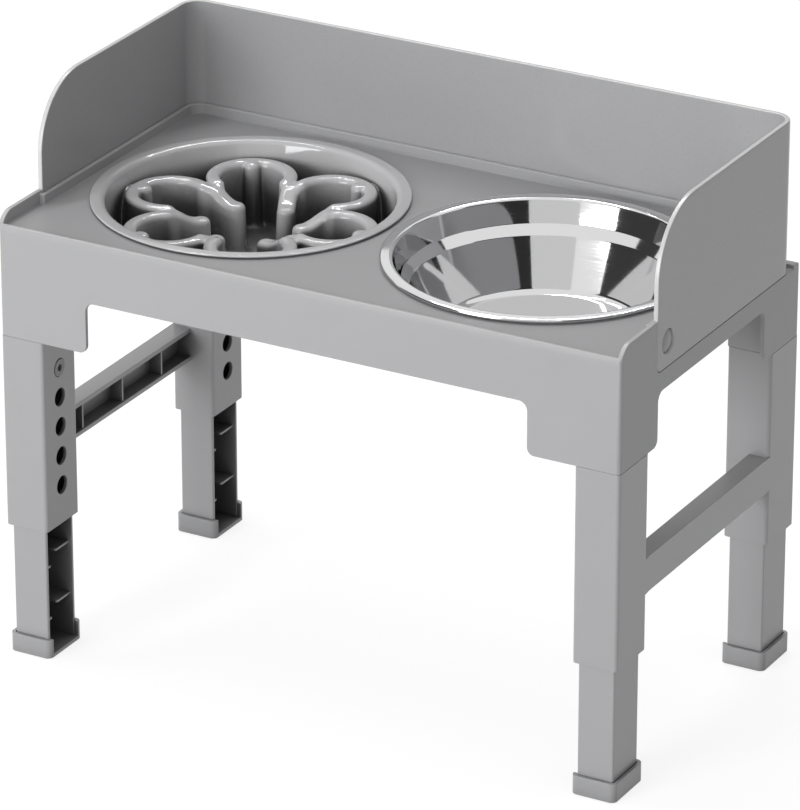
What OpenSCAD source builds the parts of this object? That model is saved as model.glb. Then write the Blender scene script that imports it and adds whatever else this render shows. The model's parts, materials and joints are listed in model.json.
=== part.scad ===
// Raised feeder stand for a dog: a moulded tray on two plug-in leg frames with
// telescopic legs, a snap-on splash guard, a slow-feeder bowl and a steel bowl.
// Millimetres. X runs along the length, +Y to the back, Z up from the floor.

/* [Table] */
// Margin from the bowls' rims to the table's ends
end_margin = 12; // [11:0.5:24]
// Margin from the bowls' rims to the table's front
front_margin = 15.5; // [12:0.5:24]
// Margin from the bowls' rims to the table's back
back_margin = 25.5; // [22:0.5:36]
// Height of the front lip above the floor, legs fully in
table_height = 291; // [280:1:320]
// Wall of the moulded table
table_wall = 3; // [2.4:0.1:3.2]
// Thickness of the tray surface
deck_thick = 3; // [2:0.1:4]
// Drop of the tray surface below the front lip
deck_drop = 1.5; // [1:0.1:3]
// Height of the skirt below the front lip
skirt_height = 40; // [34:1:48]
// Height of the corner posts below the front lip
post_height = 74; // [66:1:84]
// Width of a corner post along X
post_width = 62; // [50:1:75]
// Width of a corner post along Y
post_depth = 49; // [44:1:60]
// Radius at the foot of a corner post
post_foot_r = 5; // [2:0.5:8]
// Fillet between the skirt and a corner post
skirt_fillet_r = 6; // [2:0.5:12]
// Rise of the end walls above the front lip
end_wall_rise = 7; // [5:0.5:12]
// Radius of the end walls' front corner
end_wall_r = 12; // [8:0.5:20]
// Radius of the hollow behind the front lip
lip_cove_r = 12; // [4:0.5:16]
// Drop from the front lip to the start of that hollow
lip_land = 0.7; // [0.6:0.1:0.9]

/* [Splash guard] */
// Height of the splash guard
guard_height = 101; // [70:1:130]
// Wall of the splash guard
guard_wall = 3.2; // [2.4:0.1:3.6]
// Overlap of the guard below the front lip
guard_overlap = 27; // [24:0.5:30]
// Distance of the guard's front edges behind the table's front
guard_setback = 46.5; // [35:0.5:70]
// Distance of the guard's back in front of the table's back
guard_back_gap = 9.5; // [8:0.5:12]
// Outer radius of the guard's upright corners
guard_corner_r = 14; // [10:0.5:18]
// Radius of the guard's upper front corners
guard_top_r = 46; // [20:1:60]
// Radius of the guard's lower front corners
guard_foot_r = 5; // [2:0.5:8]
// Clearance of the guard in its groove
guard_fit = 0.25; // [0.15:0.05:0.5]
// Wall of the rim inside the guard
rim_wall = 3; // [2:0.1:3.5]
// Rise of the rim above the front lip
rim_rise = 5; // [3:0.5:8]
// Rise of the back bead above the guard's seat
bead_rise = 2.5; // [2:0.5:6]
// Radius along the top of the back bead
bead_r = 5; // [2:0.5:6]
// Diameter of a snap stud
stud_d = 15; // [8:0.5:18]
// Distance of a snap stud behind the guard's front edge
stud_setback = 14; // [12:0.5:30]
// Height of a snap stud above the guard's seat
stud_rise = 16.5; // [12:0.5:18]
// Height of the dome on a snap stud
stud_dome = 1.6; // [0.8:0.1:2.4]

/* [Bowls] */
// Diameter of the holes in the tray
bowl_hole_d = 188; // [176:0.5:200]
// Lap of a bowl's rim on the tray
rim_lap = 6; // [4:0.5:8]
// Gap between the two bowls' rims
bowl_gap = 6; // [3:0.5:10]
// Clearance between a bowl and its hole
bowl_fit = 0.6; // [0.3:0.1:1.5]
// Depth of the bowls below the tray
bowl_depth = 52; // [45:1:60]
// Height of the collar below each hole
collar_height = 12; // [6:1:20]
// Wall of the collar
collar_wall = 3; // [2:0.1:4]
// Thickness of the slow feeder's moulding
feeder_wall = 2.4; // [2.2:0.1:3]
// Edge radius of the slow feeder's flange
feeder_edge_r = 1; // [0.6:0.1:1]
// Draft of the slow feeder's wall from rim to floor
feeder_draft = 9; // [5:0.5:14]
// Thickness of the steel sheet
steel_wall = 1; // [0.8:0.1:1.4]
// Height of the steel bowl's rolled rim
steel_roll = 3.4; // [3.3:0.1:4.4]
// Edge radius of the steel bowl's rolled rim
steel_roll_r = 1.5; // [1:0.1:1.6]
// Draft of the steel bowl's upper wall, from rim to ledge
upper_draft = 5.5; // [3:0.5:8]
// Depth of the steel bowl's ledge below the tray
ledge_depth = 12.5; // [10:0.5:20]
// Width of the steel bowl's ledge
ledge_width = 5; // [4:0.5:10]
// Slope of the steel bowl's ledge, from its outer to its inner edge
ledge_drop = 6; // [2:0.5:7]
// Radius of the bends at the ledge
ledge_bend = 2.5; // [1:0.5:3]
// Radius round the steel bowl's floor
steel_fillet = 6; // [3:0.5:9]
// Radius round the slow feeder's floor
feeder_fillet = 2.5; // [2:0.5:6]
// Draft of the steel bowl's lower wall
steel_draft = 14; // [8:0.5:20]

/* [Slow feeder maze] */
// Distance of the lobes' centres from the bowl's axis
lobe_pitch_r = 57.5; // [54:0.5:60]
// Radius along the middle of a lobe's wall
lobe_r = 24; // [22:0.5:25]
// Thickness of the lobes' wall
lobe_wall = 8; // [6:0.5:9]
// Opening of a lobe towards the middle, in degrees
lobe_opening = 130; // [110:1:150]
// Distance of the lobes' top below the tray
lobe_drop = 7; // [5:0.5:12]
// Radius of the half-round rib inside each lobe
lobe_rib_r = 5; // [3:0.5:6]
// Drop of the ribs and forks below the lobes' top
maze_step = 1; // [0.6:0.1:2]
// Half width of the flat along the maze's tops
maze_flat = 0.5; // [0.3:0.1:0.8]
// Distance of the forks from the bowl's axis
fork_r = 50; // [47:0.5:53]
// Radius of a fork
fork_blob_r = 8; // [7:0.25:10]
// Distance of the spokes' tips from the bowl's axis
tip_r = 32; // [26:0.5:38]
// Swirl of the spokes' tips, in degrees
tip_swirl = 12; // [10:1:18]
// Radius of a spoke's tip
tip_blob_r = 5; // [4.5:0.25:6]
// Radius along a spoke's top
spoke_r = 4.4; // [3.8:0.1:4.4]
// Drop of the spokes' tips below the lobes' top
tip_drop = 11; // [4:0.5:16]

/* [Leg frame] */
// Width of a leg tube along X
tube_width = 30; // [28:0.5:34]
// Width of a leg tube along Y
tube_depth = 38; // [36:0.5:43]
// Wall of a leg tube
tube_wall = 2.6; // [2.2:0.1:3]
// Radius of a leg tube's upright corners
tube_corner_r = 2.4; // [1.6:0.1:2.6]
// Radius inside a leg tube's corners
tube_inner_r = 1; // [0.5:0.1:1.2]
// Height of the tubes' lower ends above the floor, legs fully in
tube_clearance = 88; // [70:1:95]
// Length of the spigot in the post
spigot_length = 30; // [20:1:36]
// Wall of the spigot
spigot_wall = 2.2; // [1.6:0.1:2.6]
// Radius of the spigot's upright corners
spigot_corner_r = 2; // [1.5:0.25:3]
// Clearance of the spigot in its socket
spigot_fit = 0.25; // [0.15:0.05:0.5]
// Wall of the socket in the post
socket_wall = 2.5; // [1.6:0.1:3]
// Number of height holes in a tube
hole_count = 5; // [3:1:5]
// Distance between height holes
hole_pitch = 20; // [16:0.5:21]
// Diameter of a height hole
hole_d = 12; // [11.8:0.1:12.6]
// Distance of the top hole below the post
hole_drop = 23; // [18:0.5:26]
// Height of the crossbar's lower edge above the tubes' lower ends
crossbar_rise = 37; // [20:1:50]
// Height of the crossbar
crossbar_height = 23; // [16:1:30]
// Depth of the crossbar along X
crossbar_depth = 13.4; // [10:0.2:18]
// Wall of the crossbar
crossbar_wall = 3; // [2.6:0.1:3.4]
// Distance between the crossbar's ribs
crossbar_rib_pitch = 48; // [36:1:60]

/* [Inner leg and foot] */
// Clearance of an inner leg in its tube
leg_fit = 0.3; // [0.2:0.05:0.5]
// Wall of an inner leg
leg_wall = 2.2; // [1.8:0.1:2.6]
// Radius of an inner leg's upright corners
leg_corner_r = 1.2; // [0.5:0.1:1.6]
// Length of an inner leg above its button
leg_head = 11; // [10:0.5:16]
// Thickness of the ribs across an inner leg
rib_thick = 1.6; // [1.2:0.1:2.4]
// Distance between the ribs across an inner leg
rib_pitch = 36; // [30:0.5:38]
// Height of the lowest rib above the floor
rib_rise = 31; // [28:0.5:34]
// Drop from a rib to its tab
tab_drop = 9.4; // [7:0.1:12]
// Reach of a rib from the leg's back wall at its short side
rib_short = 10.5; // [6:0.5:12]
// Reach of a rib from the leg's back wall at its long side
rib_long = 20.5; // [16:0.5:21]
// Width of a rib's long side
rib_long_width = 15; // [8:0.5:17]
// Width of a tab
tab_width = 8; // [5:0.5:10]
// Height of a foot
foot_height = 12.5; // [9:0.5:16]
// Floor of a foot
foot_floor = 2.5; // [2:0.1:4]
// Clearance of an inner leg in its foot
foot_fit = 0.4; // [0.2:0.1:0.4]
// Radius of a foot's upright corners
foot_corner_r = 4; // [3:0.25:5]
// Radius inside a foot's corners
foot_inner_r = 1.3; // [0.5:0.1:1.5]
// Width left beside the opening on a foot's inner side
foot_return = 4.5; // [3:0.25:8]

/* [Lock button] */
// Diameter of the button in its hole
button_d = 11.4; // [10.8:0.1:11.5]
// Diameter of the button's collar
collar_d = 14; // [13.4:0.1:14.6]
// Running clearance of the collar in its guide
button_fit = 0.1; // [0.05:0.01:0.1]
// Gap between the collar and the tube's wall
button_gap = 0.3; // [0.1:0.05:0.5]
// Height of the button's face beyond the tube
button_proud = 0.5; // [0:0.1:1]
// Length of the collar
collar_length = 8; // [6:0.5:9]
// Diameter of the small hole in the button's face
button_hole_d = 4.4; // [3:0.1:5]
// Depth of the small hole in the button's face
button_hole_depth = 3; // [1:0.5:4]
// Wall of the guide around the collar
guide_wall = 2; // [1.4:0.1:2.4]
// Floor of the guide behind the spring
guide_floor = 1.5; // [1:0.1:2]
// Wire of the button spring
wire_d = 0.8; // [0.6:0.1:1]
// Coil diameter of the button spring, at the middle of the wire
coil_d = 7; // [6:0.1:7.4]
// Turns of the button spring
coil_turns = 5; // [4:1:6]
// Clearance round the spring in the button
spring_fit = 0.9; // [0.5:0.1:1.1]

/* [Hidden] */
$fn = 64;

// A cut reaches this far past the face that it opens
over = 1;
// Depth of a hollow's or fillet's edge in the face that it runs out in
fillet_sink = 0.05;
// Colours of the mouldings and the steel
shell_grey = [0.58, 0.58, 0.6];
bowl_grey = [0.52, 0.52, 0.54];
steel = [0.78, 0.79, 0.8];

// Corners of the stand: left and right, front and rear
left = -1;
right = 1;
front = -1;
rear = 1;

// Levels, from the floor up
post_z = table_height - post_height;
skirt_z = table_height - skirt_height;
seat_z = table_height - guard_overlap;
deck_z = table_height - deck_drop;
end_wall_z = table_height + end_wall_rise;
rim_z = table_height + rim_rise;
ledge_floor_z = seat_z - table_wall;

// Bowls set the size of the table
bowl_rim_d = bowl_hole_d + 2 * rim_lap;
bowl_rim_r = bowl_rim_d / 2;
bowl_x = (bowl_rim_d + bowl_gap) / 2;
bowl_body_r = bowl_hole_d / 2 - bowl_fit;
bowl_floor_z = deck_z - bowl_depth;
table_length = 2 * (bowl_x + bowl_rim_r + end_margin);
table_depth = bowl_rim_d + front_margin + back_margin;

// Plan of the table, the guard and the rim inside it
half_length = table_length / 2;
half_depth = table_depth / 2;
bowl_y = front_margin + bowl_rim_r - half_depth;
guard_front = guard_setback - half_depth;
guard_back = half_depth - guard_back_gap;
rim_inset = guard_wall + guard_fit;
rim_back = guard_back - rim_inset;
rim_half = half_length - rim_inset;
rim_corner_r = guard_corner_r - rim_inset;
end_wall_back = guard_front - guard_fit;
rim_front = end_wall_back - rim_wall;

// Leg frame and spigot, seen from the outer corner of a post
spigot_out = table_wall + spigot_fit;
spigot_in = socket_wall + spigot_fit;
spigot_width = tube_width - spigot_out - spigot_in;
spigot_depth = tube_depth - spigot_out - spigot_in;
hole_z = post_z - hole_drop;
crossbar_z = tube_clearance + crossbar_rise;
tube_middle = tube_depth / 2;

// Inner leg, foot and button
leg_inset = tube_wall + leg_fit;
leg_width = tube_width - 2 * leg_inset;
leg_depth = tube_depth - 2 * leg_inset;
leg_top = hole_z + leg_head;
leg_hollow_x = leg_inset + leg_wall;
leg_hollow_y = leg_depth - 2 * leg_wall;
rib_count = floor((hole_z - collar_d - rib_rise) / rib_pitch) + 1;
foot_wall = leg_inset - foot_fit;
guide_r = collar_d / 2 + button_fit;
guide_end = tube_width - leg_inset;
collar_face = tube_width - tube_wall - button_gap;
collar_back = collar_face - collar_length;
button_face = tube_width + button_proud;
spring_start = leg_hollow_x + guide_floor;
cup_floor = 2;
spring_end = collar_face - cup_floor;
cup_d = coil_d + wire_d + 2 * spring_fit;

// Slow feeder maze
lobe_count = 6;
lobe_step = 360 / lobe_count;
lobe_top_z = deck_z - lobe_drop;
tip_top_z = lobe_top_z - tip_drop;
feeder_inner_r = bowl_body_r - feeder_wall;
feeder_floor_r = feeder_inner_r - feeder_draft;
feeder_floor_z = bowl_floor_z + feeder_wall;

// Rectangle with round corners, centred
module rounded_rect(w, d, r) {
    square([w - 2 * r, d], center = true);
    square([w, d - 2 * r], center = true);
    for (x = [-1, 1], y = [-1, 1])
        translate([x * (w / 2 - r), y * (d / 2 - r)])
            circle(r);
}

// What is left of a square corner when it is rounded to radius r, as a cut or
// as a fillet: the corner is at the origin, and the shape lies on +x and +y
module corner_sliver(r) {
    difference() {
        translate([-over, -over])
            square(r + over);
        translate([r, r])
            circle(r);
    }
}

// Points of a round corner of radius r at b, on the way from a to c
arc_steps = 4;
function corner_arc(a, b, c, r) =
    let (p = (a - b) / norm(a - b),
         q = (c - b) / norm(c - b),
         half = acos(p * q) / 2,
         turn = 180 - 2 * half,
         centre = b + (p + q) / norm(p + q) * r / sin(half),
         from = b + p * r / tan(half) - centre,
         to = b + q * r / tan(half) - centre)
    [for (i = [0 : arc_steps])
        let (t = turn * i / arc_steps)
        centre + (from * sin(turn - t) + to * sin(t)) / sin(turn)];

// Outline through points [x, y, corner radius]
function round_outline(corners) = [
    for (i = [0 : len(corners) - 1])
        let (last = len(corners) - 1,
             a = corners[i == 0 ? last : i - 1],
             b = corners[i],
             c = corners[i == last ? 0 : i + 1])
        each b[2] == 0
            ? [[b[0], b[1]]]
            : corner_arc([a[0], a[1]], [b[0], b[1]], [c[0], c[1]], b[2])
];

// Sets a drawing made in (Y, Z) upright and extrudes it along X, centred
module along_x(length) {
    rotate([90, 0, 90])
        translate([0, 0, -length / 2])
            linear_extrude(length)
                children();
}

// Sets a drawing made in (X, Z) upright and extrudes it along Y, centred
module along_y(length) {
    rotate([90, 0, 0])
        translate([0, 0, -length / 2])
            linear_extrude(length)
                children();
}

// Places a piece drawn from a post's outer corner, with +x and +y inwards
module at_corner(side, end) {
    translate([side * half_length, end * half_depth, 0])
        mirror([side == right ? 1 : 0, 0, 0])
            mirror([0, end == rear ? 1 : 0, 0])
                children();
}

// Opening between two posts, with its lower edge on y = 0
module skirt_opening(width, height) {
    translate([-width / 2, -over])
        difference() {
            square([width, height + over]);
            translate([0, height + over])
                mirror([0, 1])
                    corner_sliver(skirt_fillet_r);
            translate([width, height + over])
                mirror([1, 0])
                    mirror([0, 1])
                        corner_sliver(skirt_fillet_r);
        }
    for (side = [0, 1])
        mirror([side, 0])
            translate([width / 2, 0])
                corner_sliver(post_foot_r);
}

// Outer wall of the table: posts and skirt, and above them the front wall, the
// end walls and the skin of the back bead, with room for the guard between
module outer_wall() {
    opening_height = skirt_z - post_z;
    guard_room = guard_back + guard_fit - end_wall_back;
    difference() {
        translate([0, 0, post_z])
            linear_extrude(end_wall_z - post_z)
                difference() {
                    rounded_rect(table_length, table_depth, table_wall);
                    square([table_length - 2 * table_wall, table_depth - 2 * table_wall], center = true);
                }
        translate([0, 0, post_z])
            along_y(table_depth + 2 * over)
                skirt_opening(table_length - 2 * post_width, opening_height);
        translate([0, 0, post_z])
            along_x(table_length + 2 * over)
                skirt_opening(table_depth - 2 * post_depth, opening_height);
        translate([-half_length - over, end_wall_back, seat_z])
            cube([table_length + 2 * over, guard_room, end_wall_z]);
        translate([-half_length - over, guard_back, seat_z + bead_rise])
            cube([table_length + 2 * over, guard_back_gap + over, end_wall_z]);
        translate([-half_length + table_wall, -half_depth - over, table_height])
            cube([table_length - 2 * table_wall, table_wall + 2 * over, end_wall_z]);
        along_x(table_length + 2 * over)
            translate([-half_depth, end_wall_z])
                mirror([0, 1])
                    corner_sliver(end_wall_r);
    }
}

// Hollow run from the front lip down to the tray
module lip_cove() {
    rise = deck_drop - lip_land;
    run = sqrt(2 * lip_cove_r * rise - pow(rise, 2));
    along_x(table_length - table_wall)
        translate([-half_depth + table_wall, deck_z - fillet_sink])
            difference() {
                translate([-over, -over])
                    square([run + over, deck_drop + over]);
                translate([run, lip_cove_r])
                    circle(lip_cove_r);
            }
}

// Plan of the rim inside the guard, open at the front
module rim_plan(inset) {
    intersection() {
        translate([0, rim_back - table_depth])
            rounded_rect(2 * (rim_half - inset), 2 * (table_depth - inset),
                rim_corner_r - inset);
        translate([-half_length, rim_front])
            square([table_length, table_depth]);
    }
}

// Rim that the guard closes round, with its seat and the jog to the end walls
module rim_and_seat() {
    translate([0, 0, ledge_floor_z])
        linear_extrude(rim_z - ledge_floor_z)
            difference() {
                rim_plan(0);
                rim_plan(rim_wall);
            }
    translate([0, 0, ledge_floor_z])
        linear_extrude(table_wall)
            difference() {
                translate([-half_length + table_wall / 2, rim_front])
                    square([table_length - table_wall, half_depth - table_wall / 2 - rim_front]);
                rim_plan(rim_wall);
            }
    jog = rim_inset + rim_wall - table_wall / 2;
    jog_x = rim_half - rim_wall + jog / 2;
    for (side = [left, right])
        translate([side * jog_x, rim_front + rim_wall / 2, (ledge_floor_z + rim_z) / 2])
            cube([jog, rim_wall, rim_z - ledge_floor_z], center = true);
}

// Bead behind the guard, inside the outer wall's skin
module back_bead() {
    bead_front = guard_back + guard_fit;
    translate([-half_length + table_wall / 2, bead_front, ledge_floor_z])
        cube([table_length - table_wall, half_depth - table_wall / 2 - bead_front,
            table_wall + bead_rise]);
}

// Rounds the bead along the back
module bead_cut() {
    along_x(table_length + 2 * over)
        translate([half_depth, seat_z + bead_rise])
            mirror([1, 0])
                mirror([0, 1])
                    corner_sliver(bead_r);
}

// Tray surface
module deck() {
    translate([0, 0, deck_z - deck_thick])
        linear_extrude(deck_thick) {
            rim_plan(rim_wall / 2);
            translate([-half_length + table_wall / 2, -half_depth + table_wall / 2])
                square([table_length - table_wall, rim_front + rim_wall + half_depth - table_wall / 2]);
        }
}

// Collars below the bowl holes, and ribs that stiffen the tray
module collars_and_ribs() {
    rib_z = deck_z - deck_thick - collar_height;
    collar_r = bowl_hole_d / 2 + collar_wall;
    for (side = [left, right])
        translate([side * bowl_x, bowl_y, rib_z])
            difference() {
                cylinder(r = collar_r, h = collar_height + over);
                translate([0, 0, -over])
                    cylinder(d = bowl_hole_d, h = collar_height + 3 * over);
            }
    for (x = [-bowl_x, 0, bowl_x])
        translate([x - rib_thick / 2, -half_depth + over, rib_z])
            difference() {
                cube([rib_thick, half_depth + rim_back - 2 * over, collar_height + over]);
                if (x != 0)
                    translate([rib_thick / 2, half_depth + bowl_y - over, -over])
                        cylinder(d = bowl_hole_d + collar_wall, h = collar_height + 3 * over);
            }
}

// Two inner walls that close a post's socket round the spigot, flush with the tube
module socket() {
    inner_x = tube_width - socket_wall;
    inner_y = tube_depth - socket_wall;
    height = seat_z - table_wall / 2 - post_z;
    translate([inner_x, table_wall / 2, post_z])
        cube([socket_wall, tube_depth - table_wall / 2, height]);
    translate([table_wall / 2, inner_y, post_z])
        cube([tube_width - table_wall / 2, socket_wall, height]);
}

// Fillet in the lower front corner of the guard's room, round the guard's own corner
module seat_fillet() {
    length = rim_inset + over;
    for (side = [left, right])
        translate([side * (half_length - length / 2), 0, 0])
            along_x(length)
                translate([end_wall_back - fillet_sink, seat_z - fillet_sink])
                    corner_sliver(guard_foot_r + guard_fit);
}

// Domed stud that snaps into the guard, standing on the rim
module snap_stud() {
    neck = guard_wall + guard_fit - stud_dome;
    dome_r = (pow(stud_d / 2, 2) + pow(stud_dome, 2)) / (2 * stud_dome);
    rotate([0, 90, 0]) {
        translate([0, 0, -over])
            cylinder(d = stud_d, h = neck + over);
        intersection() {
            translate([0, 0, neck - over / 2])
                cylinder(d = stud_d, h = stud_dome + over);
            translate([0, 0, neck + stud_dome - dome_r])
                sphere(dome_r);
        }
    }
}

module table_top() {
    color(shell_grey) {
        difference() {
            union() {
                outer_wall();
                lip_cove();
                rim_and_seat();
                seat_fillet();
                back_bead();
                deck();
                collars_and_ribs();
                for (side = [left, right], end = [front, rear])
                    at_corner(side, end)
                        socket();
                for (side = [left, right])
                    mirror([side == left ? 1 : 0, 0, 0])
                        translate([rim_half, guard_front + stud_setback, seat_z + stud_rise])
                            snap_stud();
            }
            for (side = [left, right])
                translate([side * bowl_x, bowl_y, deck_z - deck_thick - over])
                    cylinder(d = bowl_hole_d, h = deck_thick + 2 * over);
            bead_cut();
        }
    }
}

// Plan of the guard's outer face, or its inner one
module guard_plan(inset) {
    translate([0, guard_back - table_depth])
        rounded_rect(table_length - 2 * inset, 2 * (table_depth - inset), guard_corner_r - inset);
}

module splash_guard() {
    color(shell_grey)
        difference() {
            intersection() {
                translate([0, 0, seat_z + guard_fit])
                    linear_extrude(guard_height)
                        difference() {
                            guard_plan(0);
                            guard_plan(guard_wall);
                        }
                along_x(table_length + 2 * over)
                    translate([guard_front, seat_z + guard_fit])
                        difference() {
                            square([table_depth, guard_height + over]);
                            translate([0, guard_height])
                                mirror([0, 1])
                                    corner_sliver(guard_top_r);
                            corner_sliver(guard_foot_r);
                        }
            }
            translate([0, guard_front + stud_setback, seat_z + stud_rise])
                rotate([0, 90, 0])
                    cylinder(d = stud_d + 2 * guard_fit, h = table_length + 2 * over, center = true);
        }
}

// Half section of the slow feeder's shell, with a rounded flange
module feeder_section() {
    polygon(round_outline([
        [bowl_body_r, deck_z, 0],
        [bowl_rim_r, deck_z, feeder_edge_r],
        [bowl_rim_r, deck_z + feeder_wall, feeder_edge_r],
        [feeder_inner_r, deck_z + feeder_wall, 2 * feeder_edge_r],
        [feeder_floor_r, feeder_floor_z, feeder_fillet],
        [0, feeder_floor_z, 0],
        [0, bowl_floor_z, 0],
        [feeder_floor_r + feeder_wall, bowl_floor_z, feeder_fillet + feeder_wall]
    ]));
}

// Half section of the room inside the slow feeder's shell, which bounds the maze
module maze_limit() {
    polygon(round_outline([
        [0, deck_z + feeder_wall, 0],
        [feeder_inner_r, deck_z + feeder_wall, 0],
        [feeder_floor_r, feeder_floor_z, feeder_fillet],
        [0, feeder_floor_z, 0]
    ]));
}

// Half section of a round-topped post
module post_section(r, top_z) {
    polygon(round_outline([
        [0, bowl_floor_z, 0],
        [r, bowl_floor_z, 0],
        [r, top_z, r - maze_flat],
        [0, top_z, 0]
    ]));
}

// One lobe: a round-topped wall bent round the pocket, and the rib inside it
module maze_lobe() {
    sweep = 360 - lobe_opening;
    wall_r = lobe_wall / 2;
    translate([lobe_pitch_r, 0, 0]) {
        rotate([0, 0, -sweep / 2])
            rotate_extrude(angle = sweep)
                polygon(round_outline([
                    [lobe_r - wall_r, bowl_floor_z, 0],
                    [lobe_r + wall_r, bowl_floor_z, 0],
                    [lobe_r + wall_r, lobe_top_z, wall_r - maze_flat],
                    [lobe_r - wall_r, lobe_top_z, wall_r - maze_flat]
                ]));
        translate([lobe_r - wall_r, 0, 0])
            rotate_extrude()
                post_section(lobe_rib_r, lobe_top_z - maze_step);
    }
}

// Half of the fork between two lobes, on the side of +y
module half_fork() {
    translate([fork_r, 0, 0])
        rotate_extrude(angle = 180)
            post_section(fork_blob_r, lobe_top_z - maze_step / 2);
}

// One spoke: from the middle of a fork down to its swirled tip, on the side of -y
module maze_spoke() {
    tip = [tip_r * cos(-tip_swirl), tip_r * sin(-tip_swirl)];
    run = norm([fork_r - tip[0], tip[1]]);
    heading = atan2(-tip[1], fork_r - tip[0]);
    slope = atan2(tip_drop, run);
    shoulder = run - tip_blob_r / tan(heading);
    plan = [
        [0, -tip_blob_r],
        [run, -tip_blob_r],
        [run, 0],
        [shoulder, tip_blob_r],
        [0, tip_blob_r]
    ];
    translate([tip[0], tip[1], 0]) {
        rotate_extrude()
            post_section(tip_blob_r, tip_top_z);
        rotate([0, 0, heading])
            intersection() {
                translate([0, 0, bowl_floor_z])
                    linear_extrude(bowl_depth)
                        polygon(plan);
                translate([0, 0, tip_top_z - tip_blob_r])
                    rotate([0, -slope, 0])
                        rotate([90, 0, 90])
                            translate([0, 0, -bowl_depth])
                                linear_extrude(run + 2 * bowl_depth) {
                                    translate([-spoke_r, -2 * bowl_depth])
                                        square([2 * spoke_r, 2 * bowl_depth]);
                                    circle(spoke_r);
                                }
            }
    }
}

module slow_feeder_bowl() {
    color(bowl_grey)
        translate([-bowl_x, bowl_y, 0])
            rotate_extrude()
                feeder_section();
}

// One sixth of the maze, counted from 1 at the right: a lobe with its spoke
module slow_feeder_lobe(number) {
    color(bowl_grey)
        translate([-bowl_x, bowl_y, 0])
            rotate([0, 0, (number - 1) * lobe_step])
                intersection() {
                    union() {
                        maze_lobe();
                        rotate([0, 0, -lobe_step / 2])
                            half_fork();
                        rotate([0, 0, lobe_step / 2]) {
                            mirror([0, 1, 0])
                                half_fork();
                            maze_spoke();
                        }
                    }
                    rotate_extrude()
                        maze_limit();
                }
}

// Half section of the steel bowl: rolled rim, upper wall, ledge, lower wall and floor
module steel_section() {
    inner_r = bowl_body_r - steel_wall;
    step_r = bowl_body_r - upper_draft;
    ledge_r = step_r - ledge_width;
    floor_r = ledge_r - steel_draft;
    ledge_z = deck_z - ledge_depth;
    polygon(round_outline([
        [bowl_body_r, deck_z, 0],
        [bowl_rim_r, deck_z, steel_roll_r],
        [bowl_rim_r, deck_z + steel_roll, steel_roll_r],
        [inner_r, deck_z + steel_roll, steel_roll_r],
        [step_r - steel_wall, ledge_z + steel_wall, ledge_bend],
        [ledge_r - steel_wall, ledge_z - ledge_drop + steel_wall, ledge_bend + steel_wall],
        [floor_r - steel_wall, bowl_floor_z + steel_wall, steel_fillet],
        [0, bowl_floor_z + steel_wall, 0],
        [0, bowl_floor_z, 0],
        [floor_r, bowl_floor_z, steel_fillet + steel_wall],
        [ledge_r, ledge_z - ledge_drop, ledge_bend],
        [step_r, ledge_z, ledge_bend + steel_wall]
    ]));
}

module steel_bowl() {
    color(steel)
        translate([bowl_x, bowl_y, 0])
            rotate_extrude()
                steel_section();
}

// Plan of an upright tube, drawn from its outer corner
module tube_plan(inset, r) {
    translate([tube_width / 2, tube_depth / 2])
        rounded_rect(tube_width - 2 * inset, tube_depth - 2 * inset, r);
}

// Outside of a leg tube with its spigot, drawn from its outer corner
module tube_body() {
    translate([0, 0, tube_clearance])
        linear_extrude(post_z - tube_clearance)
            tube_plan(0, tube_corner_r);
    translate([spigot_out + spigot_width / 2, spigot_out + spigot_depth / 2, post_z - over])
        linear_extrude(spigot_length + over)
            rounded_rect(spigot_width, spigot_depth, spigot_corner_r);
}

// Hollow of a leg tube and its spigot, with the height holes
module tube_hollow() {
    translate([0, 0, tube_clearance - over])
        linear_extrude(post_z - tube_wall - tube_clearance + over)
            tube_plan(tube_wall, tube_inner_r);
    translate([spigot_out + spigot_wall, spigot_out + spigot_wall, post_z - tube_wall - over])
        cube([spigot_width - 2 * spigot_wall, spigot_depth - 2 * spigot_wall,
            spigot_length + tube_wall + 2 * over]);
    for (k = [0 : hole_count - 1])
        translate([tube_width - tube_wall - over, tube_middle, hole_z - k * hole_pitch])
            rotate([0, 90, 0])
                cylinder(d = hole_d, h = tube_wall + 2 * over);
}

// Channel between the two tubes of a frame, open towards the middle
module crossbar() {
    span = table_depth - 2 * tube_depth;
    rib_half = floor((span / 2 - crossbar_wall) / crossbar_rib_pitch);
    length = span + 2 * tube_middle;
    translate([0, -length / 2, crossbar_z])
        difference() {
            cube([crossbar_depth, length, crossbar_height]);
            translate([crossbar_wall, -over, crossbar_wall])
                cube([crossbar_depth, length + 2 * over, crossbar_height - 2 * crossbar_wall]);
        }
    for (k = [-rib_half : rib_half])
        translate([over, k * crossbar_rib_pitch - rib_thick / 2, crossbar_z + over])
            cube([crossbar_depth - 2 * over, rib_thick, crossbar_height - 2 * over]);
}

module leg_frame(side) {
    color(shell_grey)
        difference() {
            union() {
                for (end = [front, rear])
                    at_corner(side, end)
                        tube_body();
                translate([side * half_length, 0, 0])
                    mirror([side == right ? 1 : 0, 0, 0])
                        crossbar();
            }
            for (end = [front, rear])
                at_corner(side, end)
                    tube_hollow();
        }
}

// Rib across the channel, longer on one side, with a round corner
module leg_rib() {
    corner = rib_thick;
    square([rib_short, leg_hollow_y]);
    translate([0, leg_hollow_y - rib_long_width])
        difference() {
            square([rib_long, rib_long_width]);
            translate([rib_long, 0])
                mirror([1, 0])
                    corner_sliver(corner);
        }
}

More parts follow.
